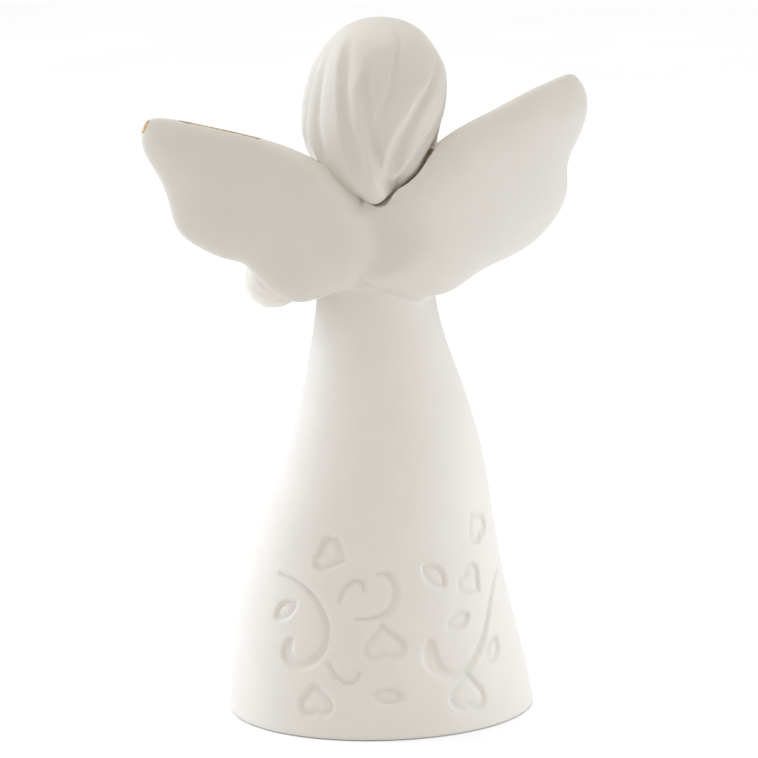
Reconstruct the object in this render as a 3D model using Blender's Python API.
"""Cast-resin praying angel figurine, about 140 mm tall, as the glued assembly it is.

+Z is up, the angel faces -Y, and its left side is +X. The origin is the centre of the felt pad's
underside, where the figurine stands. Every size below is in millimetres.

The castings are lofts of elliptical rings. Each neighbour is cut back by a grown copy of the casting it
is glued to, which leaves the glue film, and steel dowels bridge the glued seams.
"""

import math

import bmesh
import bpy
from mathutils import Vector

MM = 0.001

GLUE = 0.3  # film of glue between two castings
DOWEL_FIT = 0.25  # clearance round a dowel in its drilled hole
WALL = 3.2  # wall of the hollow gown
REBATE_WALL = 2.2  # wall that is left round the base plug
PAD_THICKNESS = 1.0
PLUG_THICKNESS = 3.0
HEM_LIFT = 0.3  # the gown's rim stands this far above the felt's underside
CAVITY_TOP = 84.0

GOWN_SEGMENTS = 40
HEAD_SEGMENTS = 24
HAIR_SEGMENTS = 30
WINDOW_SEGMENTS = 20
SLEEVE_SEGMENTS = 18
HAND_SEGMENTS = 12
DOWEL_SEGMENTS = 14
WING_SEGMENTS = 40

# Gown stations: height, half width, half depth, and the middle's x and y. The figure sways gently.
GOWN = (
    (HEM_LIFT, 31.3, 27.2, 0.0, 1.0),
    (6.0, 30.7, 26.7, 0.1, -0.1),
    (15.0, 29.2, 25.3, 0.4, -1.6),
    (25.0, 27.0, 23.4, 0.6, -2.0),
    (35.0, 24.7, 21.3, 0.4, -1.3),
    (45.0, 22.1, 19.0, -0.1, 0.2),
    (55.0, 19.4, 16.6, -0.5, 1.1),
    (65.0, 16.6, 14.1, -0.3, 0.8),
    (75.0, 13.8, 11.8, 0.2, -0.4),
    (82.0, 12.4, 10.3, 0.4, -1.2),
    (89.0, 12.1, 9.6, 0.4, -1.3),
    (96.0, 12.8, 9.4, 0.3, -1.0),
    (100.5, 12.0, 8.4, 0.3, -0.8),
    (103.5, 9.2, 6.8, 0.4, -0.6),
    (105.6, 6.0, 5.6, 0.5, -0.6),
)

# Head stations: height, half width, half depth, and the middle's x and y. The head leans a little.
HEAD = (
    (105.9, 4.7, 4.7, 0.6, -0.8),
    (108.0, 4.4, 4.6, 0.9, -1.2),
    (109.6, 5.2, 6.6, 1.2, -3.0),
    (111.5, 7.6, 8.9, 1.4, -4.0),
    (114.5, 9.6, 10.6, 1.5, -3.9),
    (118.5, 10.9, 11.7, 1.3, -3.2),
    (123.0, 11.3, 12.0, 0.9, -2.4),
    (127.5, 10.8, 11.5, 0.5, -1.6),
    (131.5, 9.2, 9.9, 0.3, -1.0),
    (134.5, 6.8, 7.4, 0.1, -0.6),
    (136.4, 3.6, 4.0, 0.0, -0.4),
)

# Hair stations, as for the head: a cap that gathers into a point on the back of the neck.
HAIR = (
    (103.2, 0.9, 0.9, 1.2, 8.4),
    (105.5, 3.6, 2.6, 1.3, 7.2),
    (108.0, 7.2, 5.2, 1.6, 4.6),
    (110.5, 10.6, 8.6, 1.8, 1.6),
    (113.5, 12.9, 12.0, 1.9, -1.0),
    (117.5, 13.9, 13.8, 1.6, -1.7),
    (122.0, 14.2, 14.5, 1.1, -1.4),
    (126.5, 13.9, 14.4, 0.5, -1.0),
    (130.5, 12.8, 13.4, 0.2, -0.7),
    (134.0, 11.2, 11.8, 0.1, -0.4),
    (137.0, 9.1, 9.6, 0.0, -0.2),
    (139.0, 6.3, 6.6, 0.0, -0.1),
    (140.1, 2.6, 2.8, 0.0, 0.0),
)
FACE_WINDOW = ((1.2, -17.0, 117.4), (9.7, 11.6, 11.6))  # centre and radii of the opening in the hair

# The wings' middle surface is a curved sheet behind the shoulders that wraps forward towards the tips.
WING_BACK = 10.0  # how far behind the origin the sheet starts
WING_TURN_ROOT = math.radians(8)
WING_TURN_TIP = math.radians(32)
WING_LENGTH = 50.0
WING_ROOT_HALF = 3.5  # half thickness at the root
WING_TIP_HALF = 2.5
WING_EDGE_POWER = 5.0  # how suddenly the edge rounds off
WING_HUB = (26.0, 105.0)  # the point inside the outline that the rings shrink to
WING_SHARES = (0.965, 0.88, 0.7, 0.4)  # how far out from the hub the rings on each face lie
SEAM_TOP = (2.6, 104.0)  # x and z of the glued seam between the two wings
SEAM_BOTTOM = (4.6, 87.0)
SEAM_REACH = 30.0  # size of the block that trims each wing at the seam

# Outlines: distance along the sheet from the middle of the back, and height.
LEFT_OUTLINE = (
    (-3, 97), (-1, 101), (2.5, 103.4), (10, 109.2), (16, 113.5), (22, 116.6), (30, 119), (40, 121.2),
    (47, 122.6), (50.7, 120.6), (50.8, 116.3), (48, 110.3), (45.8, 106), (44.8, 102), (41, 97.6),
    (35, 95.2), (31.3, 92.8), (28, 89), (24, 86.4), (18, 85.8), (12, 87.2), (5, 88.8), (-1, 91.5),
)  # fmt: skip
RIGHT_OUTLINE = (
    (-8, 97), (-6.6, 101), (-3, 104), (2, 109.2), (7, 113.8), (14, 118.2), (23, 121.8), (32, 124),
    (41, 126), (46.8, 126.6), (50.2, 124), (50.8, 120), (49, 115.6), (45.6, 111.3), (44.2, 107.4),
    (43.9, 103), (40.5, 98.3), (34, 94.3), (27, 91.6), (21.5, 89.8), (16, 86.6), (10.5, 85.2), (4, 86.2),
    (-5, 88.8), (-8, 92),
)  # fmt: skip

# Sleeve stations: place of the middle, and the radius across and along the sleeve's own up direction.
LEFT_SLEEVE = (
    ((10.4, -1.6, 99.0), 3.6, 4.0),
    ((13.6, -1.9, 97.6), 4.2, 4.4),
    ((17.0, -2.8, 93.8), 4.5, 4.6),
    ((19.4, -4.2, 90.0), 4.8, 5.2),
    ((18.8, -7.4, 88.0), 5.0, 5.8),
    ((15.6, -10.8, 88.8), 4.6, 6.2),
    ((11.4, -13.8, 90.8), 4.2, 6.0),
    ((8.0, -15.8, 92.6), 4.0, 5.6),
)
RIGHT_SLEEVE = (
    ((-10.4, -1.6, 99.2), 3.6, 4.0),
    ((-12.8, -2.2, 98.0), 4.1, 4.4),
    ((-14.6, -3.4, 95.4), 4.3, 4.6),
    ((-15.6, -5.6, 92.8), 4.5, 5.0),
    ((-14.8, -8.6, 91.6), 4.6, 5.4),
    ((-12.4, -11.4, 91.8), 4.4, 5.8),
    ((-9.6, -13.8, 92.6), 4.1, 5.8),
    ((-7.2, -15.6, 93.6), 4.0, 5.5),
)
SLEEVE_SIDE_FROM = Vector((0, -0.7, 0.7))  # a sleeve's across direction is square to this

# Hand stations: distance from the plane where the palms meet, y, z, half thickness, half breadth.
# The hand comes out of the cuff, bends up at the wrist and ends in the finger tips.
HAND = (
    (9.2, -14.6, 92.4, 1.7, 2.1),
    (6.8, -16.1, 93.3, 1.7, 2.1),
    (4.3, -17.4, 94.5, 1.8, 2.5),
    (2.5, -18.4, 96.6, 1.9, 3.0),
    (1.9, -19.4, 99.2, 1.6, 3.1),
    (1.6, -20.6, 101.8, 1.3, 2.7),
    (1.3, -21.8, 104.4, 1.0, 2.0),
    (1.0, -22.4, 105.8, 0.6, 1.0),
)
PALMS_X = 0.8
HAND_SIDE_FROM = Vector((0, 0.89, 0.45))

DOWEL_RADIUS = 1.0
# Dowels: node, one end, other end, and the castings that are drilled for it.
DOWELS = (
    ("neck_dowel", (0.4, -0.8, 99.0), (1.1, -1.6, 112.5), ("gown_shell", "head")),
    ("left_wing_upper_dowel", (5.0, 3.6, 98.4), (7.6, 9.8, 99.4), ("gown_shell", "left_wing")),
    ("left_wing_lower_dowel", (6.4, 3.6, 93.4), (9.2, 9.4, 93.8), ("gown_shell", "left_wing")),
    ("right_wing_upper_dowel", (-3.8, 3.6, 98.4), (-6.4, 10.0, 99.4), ("gown_shell", "right_wing")),
    ("right_wing_lower_dowel", (-5.0, 3.6, 92.6), (-7.8, 9.8, 92.8), ("gown_shell", "right_wing")),
    ("left_shoulder_dowel", (7.6, -1.4, 98.6), (14.6, -2.1, 96.8), ("gown_shell", "left_sleeve")),
    ("right_shoulder_dowel", (-7.4, -1.4, 98.8), (-13.2, -2.4, 97.6), ("gown_shell", "right_sleeve")),
)

RESIN = ("white_resin", (0.86, 0.85, 0.82, 1.0), 0.55, 0.0)
STEEL = ("steel", (0.60, 0.60, 0.62, 1.0), 0.35, 1.0)
FELT = ("felt", (0.80, 0.78, 0.73, 1.0), 0.95, 0.0)


def clear_scene():
    for obj in list(bpy.data.objects):
        bpy.data.objects.remove(obj, do_unlink=True)


def material(spec):
    """The material of this name, made once."""
    name, colour, roughness, metallic = spec
    found = bpy.data.materials.get(name)
    if found:
        return found
    made = bpy.data.materials.new(name)
    made.use_nodes = True
    shader = made.node_tree.nodes["Principled BSDF"]
    shader.inputs["Base Color"].default_value = colour
    shader.inputs["Roughness"].default_value = roughness
    shader.inputs["Metallic"].default_value = metallic
    return made


def curve_at(stations, x):
    """The values at x on a smooth curve through stations, whose first number is x."""
    if x <= stations[0][0]:
        return stations[0][1:]
    if x >= stations[-1][0]:
        return stations[-1][1:]
    i = max(k for k in range(len(stations) - 1) if stations[k][0] <= x)
    before, a, b, after = (stations[min(max(k, 0), len(stations) - 1)] for k in (i - 1, i, i + 1, i + 2))
    width = b[0] - a[0]
    t = (x - a[0]) / width
    values = []
    for k in range(1, len(a)):
        slope_a = (b[k] - before[k]) / (b[0] - before[0]) * width
        slope_b = (after[k] - a[k]) / (after[0] - a[0]) * width
        values.append(
            (2 * t**3 - 3 * t**2 + 1) * a[k]
            + (t**3 - 2 * t**2 + t) * slope_a
            + (3 * t**2 - 2 * t**3) * b[k]
            + (t**3 - t**2) * slope_b
        )
    return tuple(values)


def closed_spline(points, count):
    """count points spread over a closed smooth curve through points."""
    n = len(points)
    made = []
    for step in range(count):
        place = step * n / count
        i = int(place)
        t = place - i
        p = [points[(i + k) % n] for k in (-1, 0, 1, 2)]
        made.append(
            tuple(
                0.5
                * (
                    2 * p[1][k]
                    + (p[2][k] - p[0][k]) * t
                    + (2 * p[0][k] - 5 * p[1][k] + 4 * p[2][k] - p[3][k]) * t**2
                    + (3 * p[1][k] - p[0][k] - 3 * p[2][k] + p[3][k]) * t**3
                )
                for k in (0, 1)
            )
        )
    return made


def add_object(name, bm, spec, helper=False):
    """Turns a bmesh in millimetres into an object; a helper is a cutter that isn't a part."""
    bmesh.ops.recalc_face_normals(bm, faces=bm.faces)
    bmesh.ops.scale(bm, vec=(MM, MM, MM), verts=bm.verts)
    mesh = bpy.data.meshes.new(name)
    bm.to_mesh(mesh)
    bm.free()
    mesh.shade_smooth()
    mesh.set_sharp_from_angle(angle=math.radians(40))
    obj = bpy.data.objects.new(name, mesh)
    bpy.context.scene.collection.objects.link(obj)
    if helper:
        obj.hide_render = True
        obj.display_type = "WIRE"
    else:
        mesh.materials.append(material(spec))
    return obj


def loft(name, rings, spec=None, helper=False):
    """A closed skin over rings of points, with the first and last ring capped."""
    bm = bmesh.new()
    rows = [[bm.verts.new(p) for p in ring] for ring in rings]
    for lower, upper in zip(rows, rows[1:]):
        for k in range(len(lower)):
            j = (k + 1) % len(lower)
            bm.faces.new((lower[k], lower[j], upper[j], upper[k]))
    bm.faces.new(rows[0])
    bm.faces.new(rows[-1])
    return add_object(name, bm, spec, helper)


def ellipse(centre, across, along, segments):
    """Points round an ellipse with the half axes across and along, both vectors."""
    turns = (2 * math.pi * k / segments for k in range(segments))
    return [centre + across * math.cos(a) + along * math.sin(a) for a in turns]


def level_ring(z, half_width, half_depth, x, y, segments):
    return ellipse(Vector((x, y, z)), Vector((half_width, 0, 0)), Vector((0, half_depth, 0)), segments)


def cut(obj, cutter, operation="DIFFERENCE"):
    modifier = obj.modifiers.new(cutter.name, "BOOLEAN")
    modifier.operation = operation
    modifier.solver = "EXACT"
    modifier.object = cutter
    return obj


def cylinder(name, start, end, radius, spec=None, helper=False):
    start, end = Vector(start), Vector(end)
    across = (end - start).orthogonal().normalized() * radius
    along = (end - start).normalized().cross(across)
    rings = [ellipse(p, across, along, DOWEL_SEGMENTS) for p in (start, end)]
    return loft(name, rings, spec, helper)


def ring_heights(stations):
    """The stations' heights, with one more half way along each gap."""
    heights = [stations[0][0]]
    for lower, upper in zip(stations, stations[1:]):
        heights += [(lower[0] + upper[0]) / 2, upper[0]]
    return heights


def casting_rings(stations, segments, grow=0.0):
    """Level rings over the stations. A grown copy is fatter, and longer at both ends."""
    rings = []
    for z in ring_heights(stations):
        half_width, half_depth, x, y = curve_at(stations, z)
        rings.append(level_ring(z, half_width + grow, half_depth + grow, x, y, segments))
    for p in rings[0]:
        p.z -= grow
    for p in rings[-1]:
        p.z += grow
    return rings


def gown_ring(z, inset):
    half_width, half_depth, x, y = curve_at(GOWN, z)
    return level_ring(z, half_width - inset, half_depth - inset, x, y, GOWN_SEGMENTS)


def make_gown():
    """The hollow gown: a skin up the rebate, over the ledge and the cavity's roof, and down the outside."""
    ledge = PAD_THICKNESS + PLUG_THICKNESS + 2 * GLUE
    cavity_heights = [z for z in ring_heights(GOWN) if ledge < z < CAVITY_TOP] + [CAVITY_TOP]
    outside = casting_rings(GOWN, GOWN_SEGMENTS)
    rebate = [gown_ring(z, REBATE_WALL) for z in (HEM_LIFT, ledge)]
    cavity = [gown_ring(z, WALL) for z in [ledge] + cavity_heights]
    bm = bmesh.new()
    rows = [[bm.verts.new(p) for p in ring] for ring in outside[::-1] + rebate + cavity]
    for ring, following in zip(rows, rows[1:]):
        for k in range(GOWN_SEGMENTS):
            j = (k + 1) % GOWN_SEGMENTS
            bm.faces.new((ring[k], ring[j], following[j], following[k]))
    bm.faces.new(rows[0])
    bm.faces.new(rows[-1])
    return add_object("gown_shell", bm, RESIN)


def make_base():
    """The plug that closes the gown, and the felt pad under it."""
    inset = REBATE_WALL + GLUE
    plug_bottom = PAD_THICKNESS + GLUE
    plug_top = plug_bottom + PLUG_THICKNESS
    loft("felt_pad", [gown_ring(z, inset) for z in (0.0, PAD_THICKNESS)], FELT)
    loft("base_plug", [gown_ring(z, inset) for z in (plug_bottom, plug_top)], RESIN)


def make_hair(gown_cutter):
    """The hair cap: cut out for the head and the shoulders, with a window for the face."""
    hair = loft("hair", casting_rings(HAIR, HAIR_SEGMENTS), RESIN)
    cut(hair, loft("head_cutter", casting_rings(HEAD, HEAD_SEGMENTS, GLUE), helper=True))
    centre, radii = FACE_WINDOW
    bm = bmesh.new()
    bmesh.ops.create_uvsphere(bm, u_segments=WINDOW_SEGMENTS, v_segments=WINDOW_SEGMENTS, radius=1)
    bmesh.ops.scale(bm, vec=radii, verts=bm.verts)
    bmesh.ops.translate(bm, vec=centre, verts=bm.verts)
    cut(hair, add_object("face_window_cutter", bm, None, helper=True))
    cut(hair, gown_cutter)


def wing_point(side, w, z, t):
    """The point w along the wing's sheet, at height z, t behind the sheet. side is +1 for the left wing."""
    rate = (WING_TURN_TIP - WING_TURN_ROOT) / WING_LENGTH
    turn = WING_TURN_ROOT + rate * max(w, 0.0)
    if w > 0:
        x = (math.sin(turn) - math.sin(WING_TURN_ROOT)) / rate
        y = WING_BACK - (math.cos(WING_TURN_ROOT) - math.cos(turn)) / rate
    else:
        x = w * math.cos(turn)
        y = WING_BACK - w * math.sin(turn)
    return Vector((side * (x + t * math.sin(turn)), y + t * math.cos(turn), z))


def wing_half_thickness(w, share):
    """Half thickness at w along the wing, this share of the way from the hub to the outline."""
    way = min(max(w / WING_LENGTH, 0.0), 1.0)
    full = WING_ROOT_HALF + (WING_TIP_HALF - WING_ROOT_HALF) * way
    return full * math.sqrt(1.0 - share**WING_EDGE_POWER)


def make_wing(name, side, outline):
    """A puffy plate: rings that shrink from the scalloped outline to the hub, on both faces."""
    edge = closed_spline(outline, WING_SEGMENTS)
    hub_w, hub_z = WING_HUB
    bm = bmesh.new()
    rim = [bm.verts.new(wing_point(side, w, z, 0)) for w, z in edge]
    for face in (-1, 1):
        rows = [rim]
        for share in WING_SHARES:
            ring = []
            for w, z in edge:
                w_in = hub_w + share * (w - hub_w)
                z_in = hub_z + share * (z - hub_z)
                t = face * wing_half_thickness(w_in, share)
                ring.append(bm.verts.new(wing_point(side, w_in, z_in, t)))
            rows.append(ring)
        hub = bm.verts.new(wing_point(side, hub_w, hub_z, face * wing_half_thickness(hub_w, 0)))
        for k in range(WING_SEGMENTS):
            j = (k + 1) % WING_SEGMENTS
            for outer, inner in zip(rows, rows[1:]):
                bm.faces.new((outer[k], outer[j], inner[j], inner[k]))
            bm.faces.new((rows[-1][k], rows[-1][j], hub))
    return add_object(name, bm, RESIN)


def seam_block(name, side):
    """Everything past the seam between the wings, which the wing on this side must not enter."""
    slope = (SEAM_BOTTOM[0] - SEAM_TOP[0]) / (SEAM_BOTTOM[1] - SEAM_TOP[1])
    rings = []
    for z in (SEAM_BOTTOM[1] - SEAM_REACH, SEAM_TOP[1] + SEAM_REACH):
        near = SEAM_TOP[0] + slope * (z - SEAM_TOP[1]) + side * GLUE / 2
        far = near - side * SEAM_REACH
        corners = ((near, -SEAM_REACH), (near, SEAM_REACH), (far, SEAM_REACH), (far, -SEAM_REACH))
        rings.append([Vector((x, y, z)) for x, y in corners])
    return loft(name, rings, helper=True)


def make_wings(gown_cutter):
    hair_cutter = loft("hair_cutter", casting_rings(HAIR, HAIR_SEGMENTS, GLUE), helper=True)
    for name, side, outline in (("left_wing", 1, LEFT_OUTLINE), ("right_wing", -1, RIGHT_OUTLINE)):
        wing = make_wing(name, side, outline)
        cut(wing, seam_block(name + "_seam_cutter", side))
        cut(wing, gown_cutter)
        cut(wing, hair_cutter)


def limb_rings(stations, side_from, segments, grow=0.0):
    """Rings square to a bent path. Each station is a place, a half size across and a half size along."""
    rings = []
    for k, (place, across, along) in enumerate(stations):
        before = Vector(stations[max(k - 1, 0)][0])
        after = Vector(stations[min(k + 1, len(stations) - 1)][0])
        way = (after - before).normalized()
        side = way.cross(side_from).normalized()
        up = side.cross(way).normalized()
        rings.append(ellipse(Vector(place), side * (across + grow), up * (along + grow), segments))
    return rings


def make_arms(gown_cutter):
    for name, side, stations in (("left", 1, LEFT_SLEEVE), ("right", -1, RIGHT_SLEEVE)):
        hand = [((PALMS_X + side * out, y, z), thick, broad) for out, y, z, thick, broad in HAND]
        loft(name + "_hand", limb_rings(hand, HAND_SIDE_FROM, HAND_SEGMENTS), RESIN)
        socket = limb_rings(hand, HAND_SIDE_FROM, HAND_SEGMENTS, GLUE)
        socket[0] = [p + Vector((side * GLUE, 0, 0)) for p in socket[0]]
        sleeve = loft(name + "_sleeve", limb_rings(stations, SLEEVE_SIDE_FROM, SLEEVE_SEGMENTS), RESIN)
        cut(sleeve, gown_cutter)
        cut(sleeve, loft(name + "_hand_cutter", socket, helper=True))


def make_dowels():
    """The steel dowels, and their holes in the castings that they join."""
    for name, start, end, castings in DOWELS:
        start, end = Vector(start), Vector(end)
        cylinder(name, start, end, DOWEL_RADIUS, STEEL)
        spare = (end - start).normalized() * DOWEL_FIT
        hole_radius = DOWEL_RADIUS + DOWEL_FIT
        hole = cylinder(name + "_hole_cutter", start - spare, end + spare, hole_radius, helper=True)
        for casting in castings:
            cut(bpy.data.objects[casting], hole)


def main():
    clear_scene()
    make_gown()
    gown_cutter = loft("gown_cutter", casting_rings(GOWN, GOWN_SEGMENTS, GLUE), helper=True)
    make_base()
    loft("head", casting_rings(HEAD, HEAD_SEGMENTS), RESIN)
    make_hair(gown_cutter)
    make_wings(gown_cutter)
    make_arms(gown_cutter)
    make_dowels()


main()
